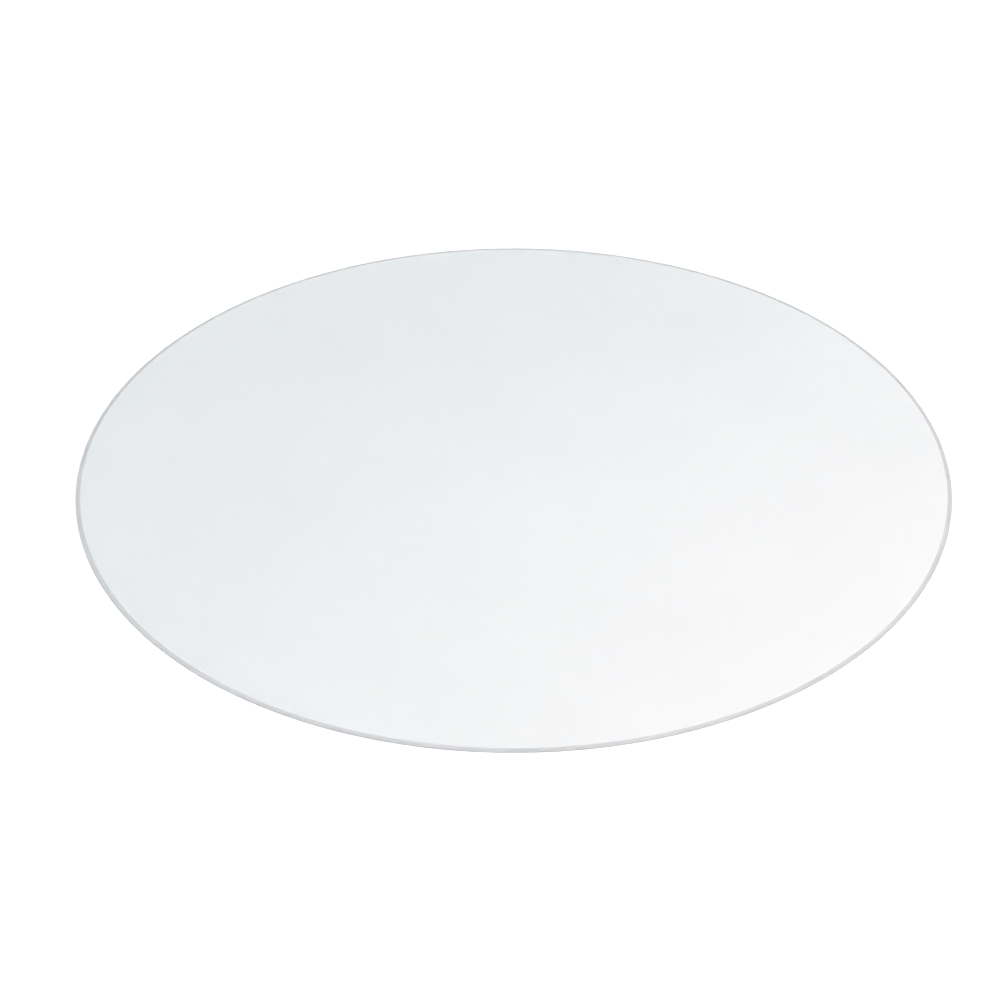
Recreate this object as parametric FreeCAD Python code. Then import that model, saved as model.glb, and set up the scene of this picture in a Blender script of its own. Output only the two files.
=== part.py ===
import FreeCAD, Part
import math
import os

# Round chair mat for a hard floor. A clear polycarbonate disc spreads the load of the castors, and a
# wide bevel round its rim lets them roll on and off. A clear elastomer film under the disc grips the
# floor, and a layer of transfer adhesive holds the film to the disc. The film and its adhesive stop
# short of the rim, so that the cutter that bevels the disc never reaches them.
# Millimetres, +Z up. The origin is on the floor, at the mat's centre.

# Overall
mat_diameter = 1200.0

# Polycarbonate sheet
sheet_thickness = 2.0
bevel_width = 6.0  # how far the bevel reaches in from the rim
rim_land = 1.2  # height of the upright band that the bevel leaves at the rim
bevel_top_round = 5.0  # radius where the bevel meets the top face
bevel_foot_round = 0.5  # radius where the bevel meets the upright band
arris_width = 0.2  # broken edge round the underside

# Grip film, and the adhesive between it and the sheet
grip_thickness = 0.4
bond_thickness = 0.1
grip_clearance = 0.5  # from the inner edge of the bevel to the edge of the film
bond_setback = 1.0  # the adhesive stops this far inside the film, so that none squeezes out

# Heights of the faces between the layers, above the floor
grip_top = grip_thickness
sheet_bottom = grip_top + bond_thickness
sheet_top = sheet_bottom + sheet_thickness

# Radii
mat_radius = mat_diameter / 2
bevel_radius = mat_radius - bevel_width
grip_radius = bevel_radius - grip_clearance
bond_radius = grip_radius - bond_setback

floor_centre = FreeCAD.Vector(0, 0, 0)
up = FreeCAD.Vector(0, 0, 1)


def corner_arc(before, corner, after, radius):
    """The arc that rounds one corner of an outline and is tangent to both of its sides."""
    to_before = (before - corner).normalize()
    to_after = (after - corner).normalize()
    half_angle = to_before.getAngle(to_after) / 2
    reach = radius / math.tan(half_angle)
    inwards = (to_before + to_after).normalize()
    middle = corner + inwards * (radius / math.sin(half_angle) - radius)
    return Part.Arc(corner + to_before * reach, middle, corner + to_after * reach).toShape()


def turned_solid(corners):
    """Turns an outline once round the Z axis. Each corner is its radius, its height and its rounding."""
    points = [FreeCAD.Vector(radius, 0, height) for radius, height, rounding in corners]
    arcs = []
    for i, (radius, height, rounding) in enumerate(corners):
        if rounding > 0:
            after = points[(i + 1) % len(points)]
            arcs.append(corner_arc(points[i - 1], points[i], after, rounding))
        else:
            arcs.append(None)

    edges = []
    for i, arc in enumerate(arcs):
        following = arcs[(i + 1) % len(arcs)]
        start = arc.lastVertex().Point if arc else points[i]
        end = following.firstVertex().Point if following else points[(i + 1) % len(points)]
        if arc:
            edges.append(arc)
        edges.append(Part.makeLine(start, end))
    return Part.Face(Part.Wire(edges)).revolve(floor_centre, up, 360)


def mat_sheet():
    """The clear disc, with its bevel, the upright band below it and the broken edge underneath."""
    return turned_solid(
        [
            (0, sheet_bottom, 0),
            (mat_radius - arris_width, sheet_bottom, 0),
            (mat_radius, sheet_bottom + arris_width, 0),
            (mat_radius, sheet_bottom + rim_land, bevel_foot_round),
            (bevel_radius, sheet_top, bevel_top_round),
            (0, sheet_top, 0),
        ]
    )


def bond_layer():
    """The transfer adhesive, which fills the gap between the film and the sheet."""
    return Part.makeCylinder(bond_radius, bond_thickness, floor_centre + up * grip_top)


def grip_film():
    """The elastomer film that the whole mat rests on."""
    return Part.makeCylinder(grip_radius, grip_thickness, floor_centre)


def main():
    os.makedirs("parts", exist_ok=True)
    for make in (mat_sheet, bond_layer, grip_film):
        solid = make()
        solid.exportStep(f"parts/{make.__name__}.step")
        box = solid.optimalBoundingBox()
        size = f"{box.XLength:.1f} x {box.YLength:.1f} x {box.ZLength:.2f} mm"
        print(f"{make.__name__}: {len(solid.Solids)} solid, valid {solid.isValid()}, {size}")


main()
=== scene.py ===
import math

import bmesh
import bpy
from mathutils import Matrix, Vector


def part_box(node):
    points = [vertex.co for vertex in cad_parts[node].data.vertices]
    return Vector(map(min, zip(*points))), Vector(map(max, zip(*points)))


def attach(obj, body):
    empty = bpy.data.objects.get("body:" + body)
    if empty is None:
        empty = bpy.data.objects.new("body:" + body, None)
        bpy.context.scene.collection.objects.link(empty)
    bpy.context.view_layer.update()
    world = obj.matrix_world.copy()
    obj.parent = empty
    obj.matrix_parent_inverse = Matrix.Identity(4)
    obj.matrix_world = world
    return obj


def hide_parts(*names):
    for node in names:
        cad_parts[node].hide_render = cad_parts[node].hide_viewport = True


# A round clear chair mat for hard floors, in metres: a satin polycarbonate disc with a milled bevel
# round its rim, and under it a pebbled elastomer film on a coat of adhesive. It lies on a white floor
# under a white ceiling, between grey walls that stand far off. One soft light above its front right makes
# that side the brighter one.

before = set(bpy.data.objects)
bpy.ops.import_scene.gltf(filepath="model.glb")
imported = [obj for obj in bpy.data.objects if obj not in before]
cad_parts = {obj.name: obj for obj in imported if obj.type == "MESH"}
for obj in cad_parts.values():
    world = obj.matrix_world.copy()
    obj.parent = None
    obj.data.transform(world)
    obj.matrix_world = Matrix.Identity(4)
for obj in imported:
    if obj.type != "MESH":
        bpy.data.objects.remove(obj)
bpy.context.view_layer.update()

MM = 0.001

# The disc's edge, as it is cut
BEVEL_WIDTH = 6.0 * MM  # how far the bevel reaches in from the rim
RIM_LAND = 1.2 * MM  # height of the upright band that the bevel leaves at the rim
BEVEL_TOP_ROUND = 0.33 * MM  # how far the rounding reaches where the bevel meets the top face
BEVEL_FOOT_ROUND = 0.44 * MM  # the same where the bevel meets the upright band
ARRIS_WIDTH = 0.2 * MM  # broken edge round the underside

# Making the meshes
STEPS = 720  # sides of each turned piece
ROUND_SEGMENTS = 6
RING_SPACING = 60.0 * MM  # between the rings that divide a flat face
LEVEL = 0.99999  # how far up or down the normal of a flat face points
SEAM = 0.004 * MM  # air left on each side of the adhesive, so that no two faces share one place

# Finishes
SHEET_INDEX = 1.585  # refractive index of polycarbonate
ADHESIVE_INDEX = 1.08  # only the step in index that is left where the adhesive wets the sheet
FILM_INDEX = 1.02  # only the step that is left between the film and the adhesive
GRAIN_SIZE = 1.6 * MM  # coarser than real grain, which is too fine to show
TINT_DRIFT_SIZE = 220.0 * MM
GROOVE_SCALE = 1 / (6.0 * MM)  # gives a groove every 1.9 mm, drawn coarse so that it shows
# size of the random drift in the rim's painted grey shade
RIM_SHADE_DRIFT_SIZE = 12.0 * MM
MOTTLE_SIZE = 25.0 * MM
PEBBLE_SIZE = 3.0 * MM
PATTERN_LOW = 0.3  # the middle range of a pattern, which each finish stretches over its own values
PATTERN_HIGH = 0.7

# Stage
FLOOR_GAP = 0.05 * MM  # between the floor and the film
FLOOR_SIZE = 80.0
FLOOR_CELLS = 8  # along each side
ROOM_STRENGTH = 1.248
LAMP_PLACE = (1.44, -1.08, 2.0)
LAMP_SIZE = (1.6, 1.2)
LAMP_POWER = 48.7  # watts
LIGHT_BOUNCES = 40
WALL_TOP = math.radians(18)  # how high the walls reach, seen from the mat
CEILING_EDGE = math.radians(28)  # where the ceiling is fully white
VIEW_DISTANCE = 3.2
VIEW_ELEVATION = math.radians(35.55)
VIEW_TARGET = Vector((0.0, -0.0868, 0.0))
LENS = 85.02
LENS_SHIFT = -0.0139  # sets the mat a little right of the middle of the frame


# Meshes


def turned(name, corners, rounds=()):
    """A closed round piece. Each corner of its outline is (radius, height), from the edge of the top face
    outwards and down to the edge of the underside. Each round is the index of a corner and its reach."""
    bm = bmesh.new()
    top_radius, top_height = corners[0]
    foot_radius, foot_height = corners[-1]
    rings = face_rings(top_radius)
    bmesh.ops.create_circle(bm, cap_ends=True, cap_tris=True, segments=STEPS, radius=rings[0])
    bmesh.ops.translate(bm, verts=bm.verts[:], vec=(0, 0, top_height))
    ring = [edge for edge in bm.edges if edge.is_boundary]
    outline = [(radius, top_height) for radius in rings[1:]] + corners[1:]
    outline += [(radius, foot_height) for radius in reversed(face_rings(foot_radius)[:-1])]
    for radius, height in outline:
        ring = next_ring(bm, ring, radius, height)
    last = next_ring(bm, ring, foot_radius / STEPS, foot_height)
    inner = list({vert for edge in last for vert in edge.verts})
    bmesh.ops.pointmerge(bm, verts=inner, merge_co=(0, 0, foot_height))

    for index, reach in rounds:
        corner = Vector(corners[index])
        bmesh.ops.bevel(
            bm,
            geom=[edge for edge in bm.edges if all(lies_on(vert, corner) for vert in edge.verts)],
            offset=reach,
            offset_type="OFFSET",
            affect="EDGES",
            segments=ROUND_SEGMENTS,
            profile=0.5,
            material=-1,
        )
    bmesh.ops.recalc_face_normals(bm, faces=bm.faces[:])
    for face in bm.faces:
        face.smooth = abs(face.normal.z) < LEVEL
    mesh = bpy.data.meshes.new(name)
    bm.to_mesh(mesh)
    bm.free()
    piece = bpy.data.objects.new(name, mesh)
    bpy.context.scene.collection.objects.link(piece)
    return piece


def face_rings(radius):
    """The radii of the rings that divide a flat round face, so that its triangles aren't slivers."""
    count = round(radius / RING_SPACING)
    return [radius * (i + 1) / count for i in range(count)]


def next_ring(bm, ring, radius, height):
    """Extrudes the open edge of a round shape to a new radius and height, and returns the new edge."""
    made = bmesh.ops.extrude_edge_only(bm, edges=ring)["geom"]
    verts = [part for part in made if isinstance(part, bmesh.types.BMVert)]
    scale = radius / verts[0].co.xy.length
    bmesh.ops.scale(bm, verts=verts, vec=(scale, scale, 1))
    bmesh.ops.translate(bm, verts=verts, vec=(0, 0, height - verts[0].co.z))
    return [part for part in made if isinstance(part, bmesh.types.BMEdge)]


def lies_on(vert, corner):
    """Whether a vertex is on the circle that a corner of an outline makes."""
    here = Vector((vert.co.xy.length, vert.co.z))
    return (here - corner).length < 0.01 * MM


def clear_disc(finishes):
    low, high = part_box("mat_sheet")
    radius = high.x
    piece = turned(
        "clear_disc",
        [
            (radius - BEVEL_WIDTH, high.z),
            (radius, low.z + RIM_LAND),
            (radius, low.z + ARRIS_WIDTH),
            (radius - ARRIS_WIDTH, low.z),
        ],
        [(0, BEVEL_TOP_ROUND), (1, BEVEL_FOOT_ROUND)],
    )
    for finish in finishes:
        piece.data.materials.append(finish)
    for face in piece.data.polygons:
        face.material_index = 0 if abs(face.normal.z) > LEVEL else 1
    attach(piece, "root")
    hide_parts("mat_sheet")


def adhesive_coat(finish):
    low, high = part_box("bond_layer")
    top = high.z - SEAM
    foot = low.z + SEAM
    piece = turned("adhesive_coat", [(high.x, top), (high.x, foot)])
    piece.data.materials.append(finish)
    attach(piece, "root")
    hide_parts("bond_layer")


def pebbled_film(finish):
    low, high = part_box("grip_film")
    piece = turned("pebbled_film", [(high.x, high.z), (high.x, low.z)])
    piece.data.materials.append(finish)
    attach(piece, "root")
    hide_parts("grip_film")


# Materials


def linear(code):
    """An sRGB hex colour as the linear colour that a shader takes."""
    shares = [int(code[i : i + 2], 16) / 255 for i in (1, 3, 5)]
    return [s / 12.92 if s <= 0.04045 else ((s + 0.055) / 1.055) ** 2.4 for s in shares] + [1.0]


def new_material(name):
    material = bpy.data.materials.new(name)
    material.use_nodes = True
    material.node_tree.nodes.clear()
    return material


def add(tree, kind, values=None, links=None, **settings):
    """Adds a node with its settings, its sockets' values and the outputs that feed its sockets."""
    node = tree.nodes.new(kind)
    for key, value in settings.items():
        setattr(node, key, value)
    for key, value in (values or {}).items():
        node.inputs[key].default_value = value
    for key, output in (links or {}).items():
        tree.links.new(output, node.inputs[key])
    return node


def clear_surface(tree, index, tint, tints, texture, roughness, strength, depth):
    """A clear plastic surface. Its colour runs between two tints as one pattern does, and its roughness
    and its relief follow another pattern."""
    shade = add(
        tree,
        "ShaderNodeMapRange",
        {"From Min": PATTERN_LOW, "From Max": PATTERN_HIGH},
        {"Value": tint},
    )
    colour = add(
        tree,
        "ShaderNodeMix",
        {"A": linear(tints[0]), "B": linear(tints[1])},
        {"Factor": shade.outputs["Result"]},
        data_type="RGBA",
    )
    haze = add(
        tree,
        "ShaderNodeMapRange",
        {"From Min": PATTERN_LOW, "From Max": PATTERN_HIGH, "To Min": roughness[0], "To Max": roughness[1]},
        {"Value": texture},
    )
    relief = add(
        tree,
        "ShaderNodeBump",
        {"Strength": strength, "Distance": depth},
        {"Height": texture},
    )
    shader = add(
        tree,
        "ShaderNodeBsdfPrincipled",
        {"Transmission Weight": 1.0, "IOR": index},
        {
            "Base Color": colour.outputs["Result"],
            "Roughness": haze.outputs["Result"],
            "Normal": relief.outputs["Normal"],
        },
    )
    add(tree, "ShaderNodeOutputMaterial", links={"Surface": shader.outputs["BSDF"]})


def satin_polycarbonate():
    """Polycarbonate sheet pressed by a matt roller: a fine even grain, which spreads reflections into a
    soft sheen, on a sheet whose cool tint drifts a little from place to place."""
    material = new_material("polycarbonate_satin_pressed")
    tree = material.node_tree
    place = add(tree, "ShaderNodeTexCoord").outputs["Object"]
    grain = add(
        tree,
        "ShaderNodeTexNoise",
        {"Scale": 1 / GRAIN_SIZE, "Detail": 3.0, "Roughness": 0.6},
        {"Vector": place},
    )
    drift = add(
        tree,
        "ShaderNodeTexNoise",
        {"Scale": 1 / TINT_DRIFT_SIZE, "Detail": 1.0, "Roughness": 0.6},
        {"Vector": place},
    )
    clear_surface(
        tree,
        SHEET_INDEX,
        tint=drift.outputs["Fac"],
        tints=("#eaedef", "#ebeef0"),
        texture=grain.outputs["Fac"],
        roughness=(0.20, 0.26),
        strength=0.3,
        depth=0.03 * MM,
    )
    return material


def milled_polycarbonate_painted_shade():
    """The same sheet where a cutter has bevelled it: fine grooves that run round the rim, and a painted
    grey shade on the cut, drifting a little at random, that stands in for the dark the edge gets from
    bending light, so the rim reads as a grey line."""
    material = new_material("polycarbonate_edge_milled_painted_shade")
    tree = material.node_tree
    place = add(tree, "ShaderNodeTexCoord").outputs["Object"]
    grooves = add(
        tree,
        "ShaderNodeTexWave",
        {"Scale": GROOVE_SCALE, "Distortion": 0.4, "Detail": 2.0},
        {"Vector": place},
        wave_type="RINGS",
        rings_direction="Z",
    )
    # a slow random drift in the rim's painted grey shade
    rim_shade_drift = add(
        tree,
        "ShaderNodeTexNoise",
        {"Scale": 1 / RIM_SHADE_DRIFT_SIZE, "Detail": 2.0, "Roughness": 0.6},
        {"Vector": place},
    )
    clear_surface(
        tree,
        SHEET_INDEX,
        tint=rim_shade_drift.outputs["Fac"],
        # painted shade: two greys that darken the bevel and rim, standing in for the dark the edge gets
        # from bending light
        tints=("#c1c5c9", "#c7cbcf"),
        texture=grooves.outputs["Fac"],
        roughness=(0.36, 0.44),
        strength=0.4,
        depth=0.02 * MM,
    )
    return material


def cast_adhesive():
    """Acrylic transfer adhesive, cast on a liner: nearly clear, with the faint mottling that it keeps
    where it wetted the sheet unevenly."""
    material = new_material("acrylic_adhesive_cast")
    tree = material.node_tree
    place = add(tree, "ShaderNodeTexCoord").outputs["Object"]
    mottle = add(
        tree,
        "ShaderNodeTexNoise",
        {"Scale": 1 / MOTTLE_SIZE, "Detail": 2.0, "Roughness": 0.6},
        {"Vector": place},
    )
    clear_surface(
        tree,
        ADHESIVE_INDEX,
        tint=mottle.outputs["Fac"],
        tints=("#fbfcfc", "#fcfdfd"),
        texture=mottle.outputs["Fac"],
        roughness=(0.04, 0.08),
        strength=0.2,
        depth=0.02 * MM,
    )
    return material


def pebbled_elastomer():
    """Thermoplastic elastomer film, embossed with small round pebbles that let it settle on the floor
    and leave it hazy."""
    material = new_material("elastomer_film_pebbled")
    tree = material.node_tree
    place = add(tree, "ShaderNodeTexCoord").outputs["Object"]
    pebbles = add(
        tree,
        "ShaderNodeTexVoronoi",
        {"Scale": 1 / PEBBLE_SIZE},
        {"Vector": place},
        feature="SMOOTH_F1",
    )
    clouding = add(
        tree,
        "ShaderNodeTexNoise",
        {"Scale": 1 / MOTTLE_SIZE, "Detail": 2.0, "Roughness": 0.6},
        {"Vector": place},
    )
    clear_surface(
        tree,
        FILM_INDEX,
        tint=clouding.outputs["Fac"],
        tints=("#fbfbfb", "#fcfcfd"),
        texture=pebbles.outputs["Distance"],
        roughness=(0.45, 0.55),
        strength=0.5,
        depth=0.1 * MM,
    )
    return material


def painted_floor():
    """White paint with a matt finish, so that the floor spreads light evenly and shows no mirror image."""
    material = new_material("floor_paint_matt")
    tree = material.node_tree
    paint = {"Base Color": linear("#f5f5f5"), "Roughness": 0.9}
    shader = add(tree, "ShaderNodeBsdfPrincipled", paint)
    add(tree, "ShaderNodeOutputMaterial", links={"Surface": shader.outputs["BSDF"]})
    return material


# Stage


def studio_floor():
    bm = bmesh.new()
    bmesh.ops.create_grid(
        bm, x_segments=FLOOR_CELLS, y_segments=FLOOR_CELLS, size=FLOOR_SIZE / 2
    )
    bmesh.ops.translate(bm, verts=bm.verts[:], vec=(0, 0, -FLOOR_GAP))
    mesh = bpy.data.meshes.new("studio_floor")
    bm.to_mesh(mesh)
    bm.free()
    floor = bpy.data.objects.new("studio_floor", mesh)
    floor.data.materials.append(painted_floor())
    bpy.context.scene.collection.objects.link(floor)


def studio_walls():
    """A white ceiling and grey walls, as the world. A low view of the mat mirrors the walls, so it stands
    out from the floor."""
    world = bpy.data.worlds.new("studio")
    world.use_nodes = True
    tree = world.node_tree
    tree.nodes.clear()
    direction = add(tree, "ShaderNodeTexCoord").outputs["Generated"]
    parts = add(tree, "ShaderNodeSeparateXYZ", links={"Vector": direction})
    height = add(
        tree,
        "ShaderNodeMapRange",
        {"From Min": math.sin(WALL_TOP), "From Max": math.sin(CEILING_EDGE)},
        {"Value": parts.outputs["Z"]},
        interpolation_type="SMOOTHSTEP",
    )
    colour = add(
        tree,
        "ShaderNodeMix",
        {"A": linear("#b5b9bd"), "B": linear("#fcfffe")},
        {"Factor": height.outputs["Result"]},
        data_type="RGBA",
    )
    background = add(
        tree,
        "ShaderNodeBackground",
        {"Strength": ROOM_STRENGTH},
        {"Color": colour.outputs["Result"]},
    )
    add(tree, "ShaderNodeOutputWorld", links={"Surface": background.outputs["Background"]})
    bpy.context.scene.world = world


def soft_light(name, place, aim, size, power, colour):
    lamp = bpy.data.lights.new(name, "AREA")
    lamp.shape = "RECTANGLE"
    lamp.size, lamp.size_y = size
    lamp.energy = power
    lamp.color = linear(colour)[:3]
    light = bpy.data.objects.new(name, lamp)
    light.location = place
    light.visible_camera = False
    light.rotation_euler = (Vector(aim) - Vector(place)).to_track_quat("-Z", "Y").to_euler()
    bpy.context.scene.collection.objects.link(light)


def studio_camera():
    lens = bpy.data.cameras.new("camera")
    lens.lens = LENS
    lens.shift_x = LENS_SHIFT
    camera = bpy.data.objects.new("camera", lens)
    back = Vector((0, -math.cos(VIEW_ELEVATION), math.sin(VIEW_ELEVATION)))
    camera.location = VIEW_TARGET + back * VIEW_DISTANCE
    camera.rotation_euler = (-back).to_track_quat("-Z", "Y").to_euler()
    bpy.context.scene.collection.objects.link(camera)
    bpy.context.scene.camera = camera


scene = bpy.context.scene
scene.view_settings.view_transform = "Standard"
# Light crosses six clear faces on its way to the floor and six on its way back, and more when it is
# reflected between them. Blurring it on the way would darken the mat.
scene.cycles.max_bounces = LIGHT_BOUNCES
scene.cycles.transmission_bounces = LIGHT_BOUNCES
scene.cycles.glossy_bounces = LIGHT_BOUNCES
scene.cycles.diffuse_bounces = LIGHT_BOUNCES
scene.cycles.blur_glossy = 0.0

studio_camera()
studio_walls()
studio_floor()
soft_light("key_softbox", LAMP_PLACE, (0, 0, 0), LAMP_SIZE, LAMP_POWER, "#ffded2")

clear_disc([satin_polycarbonate(), milled_polycarbonate_painted_shade()])
adhesive_coat(cast_adhesive())
pebbled_film(pebbled_elastomer())
